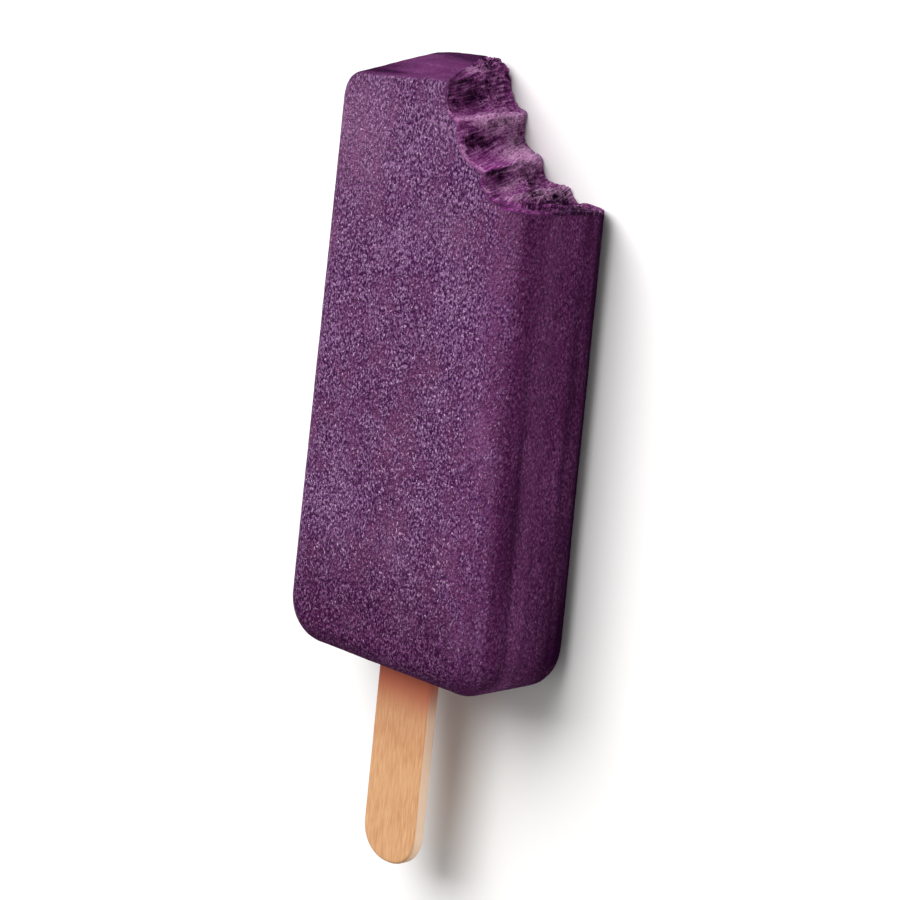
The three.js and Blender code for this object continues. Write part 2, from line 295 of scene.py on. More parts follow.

# How much of each look the moulded skin has, by the way it faces and where it lies. Some of
# the looks are painted light and shade, as noted below
skinLook = {
    "facing": {                     # each begins between these parts of the normal
        "up": (0.45, 0.95), "side": (0.3, 0.85), "tip": (0.2, 0.85), "left": (0.75, 1),
        "under": (0.1, 0.7), "rim": (0.1, 0.6),
    },
    "places": {                     # mm: x from the middle, y from the stick end, z from the floor
        "low": (22, 1), "high": (50, 80), "calm": (9, 18), "upperLeft": (4, -14), "back": (8.5, 4),
        "lowRight": (4, 16), "edgeLow": (66, 26), "edgeHigh": (5, 20), "edgeRight": (16, 19),
        "creaseLeft": (-1, -9), "tipBack": (11, 6), "tipFloor": (-2, 5), "tipLeft": (-6, -13),
        "tipFront": (8, 15),
    },
    "bands": {                      # middle and half width, mm
        # painted highlight along the left rim
        "leftRimHighlight": (-20.6, 1.2),
        "edge": (16.2, 1.6),        # painted shade: a dark line under the front's right edge
        "paintedSideHighlight": (12.6, 1.8),        # painted highlight: a paler band along the side
        # painted shade in a crease behind the tip's front edge
        "crease": (17.5, 0.6),
    },
    "pitch": {"streaks": (1.7, 32, 1.7), "haze": (7, 11, 7), "tipStreaks": (14, 6, 2.2)},
    "grain": {"any": 0.5, "up": 0.5, "calm": 0.8, "tip": 0.6, "bite": 0.45},
    "bare": {"side": 0.85, "left": 0.7, "tip": 0.8, "under": 0.8, "calm": 0.35, "low": 0.75},
    # frost haze, and painted highlights on the left rim, the upper left and the side band
    "frostAndHighlight": {"leftRimHighlight": 0.3, "upperLeft": 0.12, "haze": 0.08, "paintedSideHighlight": 0.03},
    # darker towards the stick end and its right, with painted shade under the front's right edge, on the
    # side near the floor and on faces turned down; the side's painted highlight takes some away
    "clear": {"low": 0.16, "edge": 0.4, "back": 0.45, "lowRight": 0.15, "under": 0.5, "paintedSideHighlight": 0.3},
    "streaks": {"level": 0.1, "strength": 0.42, "calm": 0.5},
    # painted shade on the tip, darker towards its back, its left and in the crease, with streaks of painted
    # reflection
    "tip": {"level": 0.38, "streaks": 0.24, "back": 0.46, "left": 0.35, "crease": 0.5},
}


def halfWidthAt(y):
    return (block["stickEndWidth"] + (block["tipWidth"] - block["stickEndWidth"]) * y / block["length"]) / 2


def depthAt(y):
    return block["stickEndDepth"] + (block["tipDepth"] - block["stickEndDepth"]) * y / block["length"]


def edgePoint(x, y, inX, inY, radius):
    return {
        "x": x, "y": y, "inX": inX * radius, "inY": inY * radius, "radius": radius,
        "outX": 0, "outY": 0, "inScallop": 0, "alongBite": 0, "toothed": 0, "nearTip": 0,
    }


def straightStretch(start, end, inX, inY, radii, steps):
    points = []
    for i in range(steps):
        t = i / steps
        x, y, radius = (a + (b - a) * t for a, b in zip((*start, radii[0]), (*end, radii[1])))
        points.append(edgePoint(x, y, inX, inY, radius))
    return points


def cornerStretch(centre, radius, startAngle, endEdge):
    points = []
    steps = block["cornerSteps"]
    for i in range(steps):
        angle = startAngle + i / steps * math.pi / 2
        across, along = math.cos(angle), math.sin(angle)
        edge = block["sideEdge"] + (endEdge - block["sideEdge"]) * along ** 2
        points.append(edgePoint(
            centre[0] + radius * across, centre[1] + radius * along, across, along, edge))
    return points


def ridgesOn(face):
    ridges = [list(ridge[face]) for ridge in bite["ridges"]]
    ridges[0][0] = halfWidthAt(ridges[0][1])
    return ridges


def scallopSteps():
    front, back = ridgesOn("front"), ridgesOn("back")
    counts = []
    for k in range(len(front) - 1):
        longest = max(math.dist(side[k], side[k + 1]) for side in (front, back))
        counts.append(round(longest * bite["arcOverChord"] / block["biteStep"]))
    return counts


def biteStretch(face):
    ridges = ridgesOn(face)
    lip, side, tip = bite["lip"], block["sideEdge"], block["biteEdge"][face]
    last = len(ridges) - 2
    points = []
    for k, steps in enumerate(scallopSteps()):
        start, end = Vector(ridges[k]), Vector(ridges[k + 1])
        inward = (end - start).normalized().orthogonal()
        hollow = bite["ridges"][k]["hollow"][face]
        lean = bite["ridges"][k]["lean"]
        for i in range(steps):
            t = i / steps
            place = start.lerp(end, t) + inward * hollow * math.sin(math.pi * t ** lean)
            nearSide = np.clip((place.x - ridges[1][0]) / (ridges[0][0] - ridges[1][0]), 0, 1)
            nearTip = np.clip((place.y - ridges[3][1]) / (ridges[-1][1] - ridges[3][1]), 0, 1)
            crisp = lip * (1 - nearSide) * (1 - nearTip)
            points.append({
                "x": place.x, "y": place.y,
                "inX": side * nearSide - inward.x * crisp,
                "inY": tip * nearTip - inward.y * crisp,
                "radius": lip + (side - lip) * nearSide + (tip - lip) * nearTip,
                "outX": -inward.x, "outY": -inward.y,
                "inScallop": math.sin(math.pi * t),
                "alongBite": k + t,
                "toothed": 1 if 0 < k < last else bite["shallowMark"],
                "nearTip": nearTip,
            })
    return points


def blockOutline(face):
    low, tipCorner = block["stickEndCorner"], block["tipCorner"][face]
    high = block["length"] - tipCorner
    lowX, highX = halfWidthAt(low), halfWidthAt(high)
    ridges = ridgesOn(face)
    bottomEdge, sideEdge = block["stickEndEdge"], block["sideEdge"]
    tipEdges = block["biteEdge"][face], block["tipEdge"][face]
    front = ridgesOn("front")
    steps = {
        "bottom": round(2 * (lowX - low) / block["step"]),
        "right": round((front[0][1] - low) / block["step"]),
        "tip": round((front[-1][0] + block["tipWidth"] / 2) / block["step"]),
        "left": round((block["length"] - low) / block["step"]),
    }
    sideEdges = sideEdge, sideEdge
    bottomEdges = bottomEdge, bottomEdge
    tipStart = -highX + tipCorner, block["length"]
    points = [
        *straightStretch((-lowX + low, 0), (lowX - low, 0), 0, -1, bottomEdges, steps["bottom"]),
        *cornerStretch((lowX - low, low), low, -math.pi / 2, bottomEdge),
        *straightStretch((lowX, low), ridges[0], 1, 0, sideEdges, steps["right"]),
        *biteStretch(face),
        *straightStretch(ridges[-1], tipStart, 0, 1, tipEdges, steps["tip"]),
        *cornerStretch((-highX + tipCorner, high), tipCorner, math.pi / 2, tipEdges[1]),
        *straightStretch((-highX, high), (-lowX, low), -1, 0, sideEdges, steps["left"]),
        *cornerStretch((-lowX + low, low), low, math.pi, bottomEdge),
    ]
    return {key: np.array([p[key] for p in points], float) for key in points[0]}


# Rounds the ridges of the bite, whose scallops meet in sharp points
def soften(outline):
    toothed = outline["toothed"] > 0
    for _ in range(bite["softening"]):
        for key in ("x", "y", "outX", "outY", "inScallop"):
            values = outline[key]
            mean = (np.roll(values, 1) + 2 * values + np.roll(values, -1)) / 4
            outline[key] = np.where(toothed, mean, values)


# Height above the floor and part of the edge radius to draw in, at part u of the way from the
# back face to the front face, measured along the skin
def edgeProfile(u, low, high, depth):
    quarter = math.pi / 2
    flat = depth - low - high
    along = u * (low * quarter + flat + high * quarter)
    lowAngle = np.clip(along / low, 0, quarter)
    highAngle = np.clip((along - low * quarter - flat) / high, 0, quarter)
    middle = np.clip(along - low * quarter, 0, flat)
    z = low * (1 - np.cos(lowAngle)) + middle + high * np.sin(highAngle)
    drawIn = 1 - np.sin(lowAngle) + 1 - np.cos(highAngle)
    return z, drawIn


def biteRelief(outline, w):
    along = outline["alongBite"]
    seam = bite["seamDepth"] + bite["seamWander"] * np.sin(bite["seamWave"] * along)
    intoRow = np.where(w < seam, w / seam, (1 - w) / (1 - seam))
    sink = np.where(w < seam, bite["backTeethSink"], bite["frontTeethSink"])
    hollow = sink * np.sin(math.pi * intoRow) * outline["inScallop"]
    ridge = bite["seamHeight"] * bell(w, seam, bite["seamWidth"])
    return outline["toothed"] * (ridge - hollow)


def tipRise(x, y, w):
    beside = x - block["tipHumpAt"]
    width = np.where(beside < 0, block["tipHumpLeft"], block["tipHumpRight"])
    hump = block["tipHump"] * np.exp(-(beside / width) ** 2) * np.sin((1 - w) * math.pi / 2)
    lean = w * block["tipLean"] * (x - block["tipLeanFrom"])
    corner = block["tipCorner"]["back"]
    reach = np.clip((y - block["length"] + corner) / corner, 0, 1)
    return reach * (hump + lean)


def blockRings():
    back, front = blockOutline("back"), blockOutline("front")
    soften(back)
    soften(front)
    depth = depthAt(front["y"])
    toothed = front["toothed"] > 0
    rings, parts = [], []
    for u in np.linspace(0, 1, block["rings"]):
        z, drawIn = edgeProfile(u, back["radius"], front["radius"], depth)
        w = np.clip(z / depth, 0, 1)
        mixed = {key: back[key] + (front[key] - back[key]) * w for key in front}
        x = mixed["x"] - mixed["inX"] * drawIn
        y = mixed["y"] - mixed["inY"] * drawIn
        relief = np.where(toothed, biteRelief(front, w), 0)
        x = x + mixed["outX"] * relief
        y = y + mixed["outY"] * relief
        y = y + np.where(toothed, tipRise(x, block["length"], w) * mixed["nearTip"], tipRise(x, y, w))
        fromGroove = depth - block["sideEdge"] - z
        groove = block["sideGroove"] * np.exp(-(fromGroove / block["sideGrooveWidth"]) ** 2)
        x = x - np.where(toothed, 0, front["inX"] / front["radius"]) * groove
        rings.append(np.stack([x, y, z], 1))
        parts.append(w)
    return np.array(rings), np.array(parts), front


# Even triangles over a flat face whose rim is the ring
def fillFace(ring, step):
    rim = ring[:, :2]
    rows = np.arange(rim[:, 1].min(), rim[:, 1].max(), step * math.sqrt(3) / 2)
    inner = []
    for i, y in enumerate(rows):
        xs = np.arange(rim[:, 0].min() + (i % 2) * step / 2, rim[:, 0].max(), step)
        inner.append(np.stack([xs, np.full(len(xs), y)], 1))
    inner = np.concatenate(inner)
    ends = np.roll(rim, -1, 0)
    crossings = np.zeros(len(inner), int)
    clear = np.full(len(inner), True)
    for a, b in zip(rim, ends):
        spans = (a[1] > inner[:, 1]) != (b[1] > inner[:, 1])
        rise = b[1] - a[1] if b[1] != a[1] else 1
        crossings += spans & (inner[:, 0] < a[0] + (inner[:, 1] - a[1]) / rise * (b[0] - a[0]))
        side = b - a
        t = np.clip((inner - a) @ side / (side @ side), 0, 1)
        clear &= np.linalg.norm(inner - a - t[:, None] * side, axis=1) > step * block["rimGap"]
    inner = inner[(crossings % 2 == 1) & clear]
    flat = [Vector(p) for p in np.concatenate([rim, inner])]
    _, _, faces, origins, _, _ = delaunay_2d_cdt(flat, [], [list(range(len(rim)))], 1, tolerance)
    return inner, [[origins[i][0] for i in face] for face in faces]


def blockSurface():
    rings, parts, outline = blockRings()
    ringCount, count = rings.shape[:2]
    points = [rings.reshape(-1, 3)]
    faces = []
    for j in range(ringCount - 1):
        for i in range(count):
            a, b = j * count + i, j * count + (i + 1) % count
            faces.append((a, b, b + count, a + count))
    total = ringCount * count
    for ringIndex, step in ((0, block["backStep"]), (ringCount - 1, block["frontStep"])):
        inner, triangles = fillFace(rings[ringIndex], step)
        z = depthAt(inner[:, 1]) if ringIndex else np.zeros(len(inner))
        points.append(np.column_stack([inner, z]))
        places = [*range(ringIndex * count, (ringIndex + 1) * count), *range(total, total + len(inner))]
        for a, b, c in triangles:
            corners = (a, b, c) if ringIndex else (a, c, b)
            faces.append(tuple(places[corner] for corner in corners))
        total += len(inner)

    def pad(values):
        return np.concatenate([values, np.zeros(total - ringCount * count)])

    fields = {
        "bitten": pad(np.tile(outline["toothed"] > 0, ringCount).astype(float)),
        "alongBite": pad(np.tile(outline["alongBite"], ringCount)),
        "depthPart": pad(parts.reshape(-1)),
    }
    return np.concatenate(points), faces, fields


def normalsOf(mesh):
    values = np.zeros(len(mesh.vertices) * 3)
    mesh.vertices.foreach_get("normal", values)
    return values.reshape(-1, 3)


# How far each point sinks into the ice, in mm
def frostSink(points):
    swell = frost["swell"] * (0.5 + 0.5 * noiseAt(points, frost["swellPitch"], 2, 1))
    bumps = frost["bumps"] * (0.5 - 0.5 * noiseAt(points, frost["bumpPitch"], 3, 2))
    return np.clip(swell + bumps, frost["least"], None)


def markAmount(along, w, mark):
    reach = np.array(mark["reach"])
    start, end = np.array(mark["from"]) / reach, np.array(mark["to"]) / reach
    place = np.stack([along, w], 1) / reach
    step = end - start
    t = np.clip((place - start) @ step / (step @ step), 0, 1)
    return np.exp(-np.sum((place - start - t[:, None] * step) ** 2, 1))


# How far the bitten face sinks, how torn it is, how dark, and where it lies: along the bite and
# along the lines that the teeth drew
def biteDetail(points, fields):
    bitten = fields["bitten"] > 0
    here = points[bitten]
    along, w = fields["alongBite"][bitten], fields["depthPart"][bitten]
    into = (1 - w) * block["tipDepth"]
    slant = np.interp(along, frost["slantPlaces"], frost["slants"])
    drawn = np.stack([along * frost["scallopWidth"] - slant * into, into, np.zeros(len(w))], 1)
    lines = noiseAt(drawn, frost["striationPitch"], 2, 3)
    crumbs = noiseAt(here, (frost["crumbPitch"],) * 3, 3, 4)
    splinters = noiseAt(here, (frost["splinterPitch"],) * 3, 2, 8)
    smooth = frost["smoothCrumbs"]
    rough = smooth + (1 - smooth) * smoothStep(w, *frost["smoothPart"])
    sink = frost["striation"] * (frost["striationLevel"] + lines) + frost["crumbs"] * crumbs * rough
    torn = biteTones["torn"] + biteTones["tornCrumbs"] * rough
    torn += biteTones["tornLines"] * np.clip(lines, 0, 1)
    torn += biteTones["tornAtSide"] * smoothStep(along, *biteTones["sidePart"])
    dark = biteTones["dark"] + biteTones["darkLines"] * np.clip(-lines, 0, 1)
    for mark in marks:
        amount = markAmount(along, w, mark)
        sink += mark["sink"] * amount
        broken = np.clip(amount * (1 + frost["edgeNibble"] * crumbs), 0, 1)
        torn += mark.get("frost", 0) * broken
        dark += mark.get("dark", 0) * broken
    sink += frost["splinters"] * splinters * np.clip(frost["splinterLevel"] + torn, 0, 1)
    relief = crumbs * rough + biteTones["splinterRelief"] * splinters
    # painted highlight on the lumps of the bite and painted shade in its hollows
    torn += biteTones["reliefHighlight"] * np.clip(-relief, 0, 1)
    dark += biteTones["reliefShade"] * np.clip(relief, 0, 1) - biteTones["reliefShadeLevel"]
    lips = smoothStep(w, *frost["frontLip"]) * smoothStep(w, *frost["backLip"])
    crisp = smoothStep(along, *frost["sidePart"])
    share = biteTones["crumbly"]
    crumbly = share["level"] + share["rough"] * rough + share["torn"] * torn
    result = {key: np.zeros(len(fields["bitten"])) for key in ("sink", "torn", "dark", "crumbly")}
    result["sink"][bitten] = sink * lips * (frost["sideRelief"] + (1 - frost["sideRelief"]) * crisp)
    result["torn"][bitten] = torn
    result["dark"][bitten] = dark
    result["crumbly"][bitten] = np.clip(crumbly, share["least"], 1)
    result["lines"] = np.zeros((len(fields["bitten"]), 3))
    result["lines"][bitten] = drawn * mm
    return result


# Frozen berry juice, hard frozen in a steel mould: milky purple with fine ice grains, hazed over
# with frost where it faces up, darker towards the stick end and in streaks down the sides, with
# painted shade at the edges, underneath and in the bite's hollows, and painted highlights on its
# ridges and lumps and along the left rim and the side
iceColours = {
    "pit": "#4e1e52",           # between the grains, partly painted shade
    "body": "#7b4d7d",
    "rosy": "#7f4771",
    "grain": "#b386b6",
    "speck": "#e3b8e3",         # a grain that catches the light
    "clear": "#2a082b",         # painted shade, and the ice's darker streaks and stick end
    "bare": ("#3d0e38", "#602658", "#8c4a82"),      # the skin where it has no frost
    "flesh": ("#47124a", "#8f4087", "#bd80b6"),     # inside the bite
    # pale torn and frosted ice, also used for painted highlights
    "torn": "#e2a6d8",
    "grainPitch": 0.28,         # mm
    "pebblePitch": 0.39,
    "grainStretch": 0.6,        # grains are longer along the lolly
    "clusterPitch": 3,
    "patchPitch": 13,
    "speckPitch": 0.31,
    "crumbPitch": 0.42,
    "linePitch": 0.3,
    "lineStretch": 0.07,
    "rampStops": (0.32, 0.5, 0.68),
    "fleshStops": (0.2, 0.5, 0.8),
    "clusterRange": (-0.2, 0.2),
    "gain": (1.05, 1.55),       # contrast of the grains, cluster by cluster
    "pebbles": {"middle": 0.42, "strength": 0.35, "smoothness": 0.35},
    "slowTones": 0.2,
    "rosyRange": (0.02, -0.3),
    "rosiness": 0.6,
    "speckRange": (0.12, 0.24),
    "specks": (0.8, 0.24),      # on frosted skin and on bare skin
    "crumbs": 1.5,
    "lines": 1.5,
    "crumbRelief": 0.6,
    "relief": 1.5,              # bump height, mm
    "shine": 0.02,
    "roughness": 0.8,
    "biteRoughness": 0.4,
}


def berryIce():
    material, tree = newMaterial("berryWaterIce")
    where = addNode(tree, "TexCoord").outputs["Object"]
    rampStops = iceColours["rampStops"]

    def field(name, output="Fac"):
        return addNode(tree, "Attribute", attribute_name=name).outputs[output]

    def add(a, b):
        return combine(tree, "ADD", a, b)

    def subtract(a, b):
        return combine(tree, "SUBTRACT", a, b)

    def times(a, b):
        return combine(tree, "MULTIPLY", a, b)

    def evenTexture(vector, pitch, detail):
        return subtract(texture(tree, vector, iceColours[pitch], detail), 0.5)

    grainAmount, bitten, bare = field("grain"), field("bitten"), field("bare")
    grainCoords = stretch(tree, where, iceColours["grainStretch"])
    clusters = evenTexture(grainCoords, "clusterPitch", 2)
    patches = evenTexture(grainCoords, "patchPitch", 3)
    gain = times(grainAmount, ranged(tree, clusters, *iceColours["clusterRange"], *iceColours["gain"]))
    grainNoise = evenTexture(grainCoords, "grainPitch", 3)
    pebbleLook = iceColours["pebbles"]
    pebbles = addNode(tree, "TexVoronoi", {
        "Vector": grainCoords, "Scale": perPitch(iceColours["pebblePitch"]),
        "Smoothness": pebbleLook["smoothness"]}, feature="SMOOTH_F1").outputs["Distance"]
    pebbled = times(subtract(pebbleLook["middle"], pebbles), pebbleLook["strength"])
    grains = times(add(grainNoise, pebbled), gain)
    slow = add(times(clusters, iceColours["slowTones"]), times(patches, iceColours["slowTones"]))
    # The grain's tone follows its bump height: the ice's own grain, with painted shade in the pits and
    # painted light on the crests
    level = add(add(grains, 0.5), slow)
    skin = ramp(tree, level, zip(rampStops, (iceColours[key] for key in ("pit", "body", "grain"))))
    rosiness = ranged(tree, add(patches, clusters), *iceColours["rosyRange"], 0, iceColours["rosiness"])
    rosy = mix(tree, rosiness, skin, linear(iceColours["rosy"]))
    speckNoise = evenTexture(grainCoords, "speckPitch", 1)
    specks = times(ranged(tree, speckNoise, *iceColours["speckRange"]), gain)
    bared = mix(tree, bare, rosy, ramp(tree, level, zip(rampStops, iceColours["bare"])))
    speckAmount = times(specks, ranged(tree, bare, 0, 1, *iceColours["specks"]))
    speckled = mix(tree, speckAmount, bared, linear(iceColours["speck"]))

    crumbs = evenTexture(where, "crumbPitch", 4)
    alongLines = stretch(tree, field("biteLines", "Vector"), iceColours["lineStretch"])
    lines = evenTexture(alongLines, "linePitch", 3)
    crumbled = times(times(crumbs, iceColours["crumbs"]), field("crumbly"))
    # Crumbs and lines that rise are painted paler and those that sink darker: painted light and shade on
    # the bite's relief, over its own mottling
    broken = add(crumbled, times(lines, iceColours["lines"]))
    nibbled = times(broken, bitten)
    fleshLevel = add(times(broken, 0.5), 0.5)
    fleshed = mix(tree, bitten, speckled, ramp(
        tree, fleshLevel, zip(iceColours["fleshStops"], iceColours["flesh"])))
    # mixes in the torn colour: torn and frosted ice, and painted highlights
    paleAndHighlightAmount = ranged(tree, add(field("frostAndHighlight"), nibbled), 0, 1)
    torn = mix(tree, paleAndHighlightAmount, fleshed, linear(iceColours["torn"]))
    # mixes in the clear colour: painted shade, and the ice's darker streaks and stick end
    shadeAndDarkAmount = ranged(tree, subtract(field("clear"), nibbled), 0, 1)
    shadedAndDarkened = mix(tree, shadeAndDarkAmount, torn, linear(iceColours["clear"]))

    height = add(grains, times(nibbled, iceColours["crumbRelief"]))
    bump = addNode(tree, "Bump", {
        "Height": height, "Strength": 1, "Distance": iceColours["relief"] * mm}).outputs[0]
    roughness = ranged(tree, bitten, 0, 1, iceColours["roughness"], iceColours["biteRoughness"])
    shader = addNode(tree, "BsdfPrincipled", {
        "Base Color": shadedAndDarkened, "Roughness": roughness, "IOR": 1.31,
        "Specular IOR Level": iceColours["shine"], "Normal": bump})
    addNode(tree, "OutputMaterial", {"Surface": shader.outputs[0]})
    return material


def setField(mesh, name, values):
    kind, key = ("FLOAT_VECTOR", "vector") if values.ndim > 1 else ("FLOAT", "value")
    layer = mesh.attributes.new(name, kind, "POINT")
    layer.data.foreach_set(key, np.asarray(values, np.float32).ravel())


def distanceFromStick(points):
    across, along, up = np.abs(points - np.array(stickCentre)).T
    power, reach, halfWidth = stick["endFullness"], stick["endReach"], stick["width"] / 2
    intoEnd = np.maximum(along - stick["length"] / 2 + reach, 0) / reach
    beside = (((across / halfWidth) ** power + intoEnd ** power) ** (1 / power) - 1) * halfWidth
    return np.hypot(np.maximum(beside, 0), np.maximum(up - stick["thickness"] / 2, 0))


# How grainy the moulded skin is, how bare of frost, how pale with frost and painted highlights,
# and how dark with painted shade and its own darker streaks and stick end
def skinTones(points, normals, bitten):
    x, y, z = points[:, 0], points[:, 1] - blockStart, points[:, 2]
    rightward, tipward, upward = normals.T
    skin = 1 - bitten
    pitch = skinLook["pitch"]

    def facing(part, way):
        return smoothStep(part, *skinLook["facing"][way])

    def beyond(value, place):
        return smoothStep(value, *skinLook["places"][place])

    def band(value, name):
        return bell(value, *skinLook["bands"][name])

    up = facing(upward, "up")
    side = facing(rightward, "side")
    tip = facing(tipward, "tip") * skin
    leftSide = facing(-rightward, "left")
    under = facing(-upward, "under")
    streaks = noiseAt(points, pitch["streaks"], 2, 6)
    haze = noiseAt(points, pitch["haze"], 3, 7)
    tipStreaks = noiseAt(points, pitch["tipStreaks"], 3, 9)
    low = beyond(y, "low")
    calm = beyond(x + 2 * haze, "calm")     # the right of the front is smoother
    # painted highlight along the left rim of the front
    leftRimHighlight = band(x, "leftRimHighlight") * facing(upward, "rim")
    # painted light: the front paler towards its upper left
    upperLeft = beyond(y, "high") * beyond(x, "upperLeft") * up
    edgeShade = band(z, "edge") * beyond(y, "edgeLow") * beyond(y, "edgeHigh")
    # painted highlight: a paler band along the side
    paintedSideHighlight = band(z, "paintedSideHighlight") * side
    # painted shade on the tip, with streaks of painted reflection
    share = skinLook["tip"]
    tipShade = share["level"] + share["streaks"] * tipStreaks
    tipShade = tipShade + share["back"] * beyond(z, "tipBack") * beyond(z, "tipFloor")
    tipShade += share["left"] * beyond(x, "tipLeft") * beyond(z, "tipFront")
    tipShade += share["crease"] * (band(z, "crease") * beyond(x, "creaseLeft"))
    share = skinLook["grain"]
    grain = share["any"] + share["up"] * up * (1 - share["calm"] * calm)
    grain = grain * (1 - share["tip"] * tip) * (1 - share["bite"] * bitten)
    share = skinLook["bare"]
    bare = np.maximum.reduce([
        share["side"] * side, share["left"] * leftSide, share["tip"] * tip,
        share["under"] * under, share["calm"] * calm, share["low"] * low])
    # frost haze, with painted highlights on the left rim, the upper left and along the side
    share = skinLook["frostAndHighlight"]
    frostAndHighlight = share["leftRimHighlight"] * leftRimHighlight + share["upperLeft"] * upperLeft
    frostAndHighlight = frostAndHighlight + share["haze"] * haze * up + share["paintedSideHighlight"] * paintedSideHighlight
    share = skinLook["clear"]
    clear = share["low"] * low + share["edge"] * edgeShade * beyond(x, "edgeRight")
    # painted shade on the side near the floor
    clear += share["back"] * (beyond(z, "back") * side)
    lowRight = share["lowRight"] * low * beyond(x, "lowRight")
    # painted shade on faces turned down, less where the side's painted highlight lies
    clear += lowRight + share["under"] * under - share["paintedSideHighlight"] * paintedSideHighlight
    share = skinLook["streaks"]
    streaked = np.maximum(side, share["calm"] * calm * up) * (share["level"] + share["strength"] * streaks)
    clear += streaked + tip * tipShade
    return grain, np.clip(bare, 0, 1), frostAndHighlight * skin, clear * skin


def makeIceBlock():
    points, faces, fields = blockSurface()
    points[:, 1] += blockStart
    piece = newPiece("ice_block_frosted", points, faces, berryIce())
    mesh = piece.data
    normals = normalsOf(mesh)
    bitten = fields["bitten"]
    detail = biteDetail(points, fields)
    sink = frostSink(points) * (1 - frost["lostInBite"] * bitten) + detail["sink"]
    deepest = distanceFromStick(points) - block["iceOverStick"]
    sink = np.where(bitten > 0, np.minimum(sink, deepest), sink)
    moved = points - normals * sink[:, None]
    moved[:, 2] = np.maximum(moved[:, 2], 0)
    mesh.vertices.foreach_set("co", (moved * mm).ravel())
    mesh.update()
    grain, bare, frostAndHighlight, clear = skinTones(points, normals, bitten)
    setField(mesh, "grain", grain)
    setField(mesh, "bitten", bitten)
    setField(mesh, "crumbly", detail["crumbly"])
    setField(mesh, "bare", bare)
    setField(mesh, "biteLines", detail["lines"])
    setField(mesh, "frostAndHighlight", np.clip(frostAndHighlight + detail["torn"], -1, 1))
    setField(mesh, "clear", np.clip(clear + detail["dark"], -1, 1))
    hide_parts("ice_block")
    print("ice block:", len(mesh.vertices), "points")
    return piece


# Stick

stick = {
    "length": 114,
    "width": 11,
    "thickness": 2,
    "ease": 0.45,
    "endReach": 5.4,
    "endFullness": 2.15,
    "endSteps": 40,
    "sideSteps": 90,
    "acrossSteps": 14,
    "easeSteps": 5,
    "slotGap": 0.03,
}


# The right half of the outline, from the lower end to the upper end, drawn in from the edge
def stickHalfOutline(drawIn):
    power = 2 / stick["endFullness"]
    reach = stick["endReach"]
    straight = stick["length"] / 2 - reach
    half = []
    for i in range(stick["endSteps"] + 1):
        angle = i / stick["endSteps"] * math.pi / 2
        half.append(((stick["width"] / 2 - drawIn) * math.sin(angle) ** power,
                     straight + (reach - drawIn) * max(0, math.cos(angle)) ** power))
    sides = [((stick["width"] / 2 - drawIn), straight * (1 - 2 * i / stick["sideSteps"]))
             for i in range(1, stick["sideSteps"])]
    lower = [(x, -y) for x, y in reversed(half)]
    return np.array(half + sides + lower)


def stickSurface(grow):
    steps, across = stick["easeSteps"], stick["acrossSteps"]
    ease, halfThick = stick["ease"], stick["thickness"] / 2
    levels = [(ease * (1 - math.sin(math.pi / 2 * k / steps)),
               halfThick - ease + ease * math.cos(math.pi / 2 * k / steps)) for k in range(steps + 1)]
    profile = levels + [(0, 0)] + [(d, -z) for d, z in reversed(levels)]
    rows = len(stickHalfOutline(0))
    points, faces = [], []
    for drawIn, z in profile:
        half = stickHalfOutline(drawIn)
        loop = np.concatenate([half, np.column_stack([-half[::-1, 0], half[::-1, 1]])[1:-1]])
        points.append(np.column_stack([loop, np.full(len(loop), z)]))
    count = len(points[0])
    for j in range(len(profile) - 1):
        for i in range(count):
            a, b = j * count + i, j * count + (i + 1) % count
            faces.append((b, a, a + count, b + count))
    total = count * len(profile)
    for ringIndex, up in ((0, True), (len(profile) - 1, False)):
        ring = points[ringIndex]
        grid = []
        for r in range(rows):
            right = r
            left = (count - r) % count if 0 < r < rows - 1 else r
            if right == left:
                grid.append([ringIndex * count + right] * (across + 1))
                continue
            inner = []
            for k in range(1, across):
                t = k / across
                points.append((ring[right] * (1 - t) + ring[left] * t)[None])
                inner.append(total)
                total += 1
            grid.append([ringIndex * count + right, *inner, ringIndex * count + left])
        for r in range(rows - 1):
            for k in range(across):
                corners = [grid[r][k], grid[r][k + 1], grid[r + 1][k + 1], grid[r + 1][k]]
                corners = list(dict.fromkeys(corners))
                if len(corners) > 2:
                    faces.append(corners[::-1] if up else corners)
    points = np.concatenate(points)
    away = points / np.maximum(np.abs(points), 1e-9)
    return points + away * grow + np.array(stickCentre), faces


def makeStick():
    points, faces = stickSurface(0)
    piece = newPiece("wooden_stick", points, faces, birchWood())
    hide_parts("stick")
    print("stick:", len(piece.data.vertices), "points")


# The block froze round the stick, so its slot is only just wider
def cutSlot(piece):
    points, faces = stickSurface(stick["slotGap"])
    mesh = bpy.data.meshes.new("slot")
    mesh.from_pydata((points * mm).tolist(), [], faces)
    cutter = bpy.data.objects.new("slot", mesh)
    bpy.context.scene.collection.objects.link(cutter)
    cut = piece.modifiers.new("slot", "BOOLEAN")
    cut.operation = "DIFFERENCE"
    cut.solver = "MANIFOLD"
    cut.object = cutter
    shapes = bpy.context.evaluated_depsgraph_get()
    piece.data = bpy.data.meshes.new_from_object(piece.evaluated_get(shapes))
    piece.modifiers.remove(cut)
    bpy.data.objects.remove(cutter)
    print("slot cut:", len(piece.data.vertices), "points")


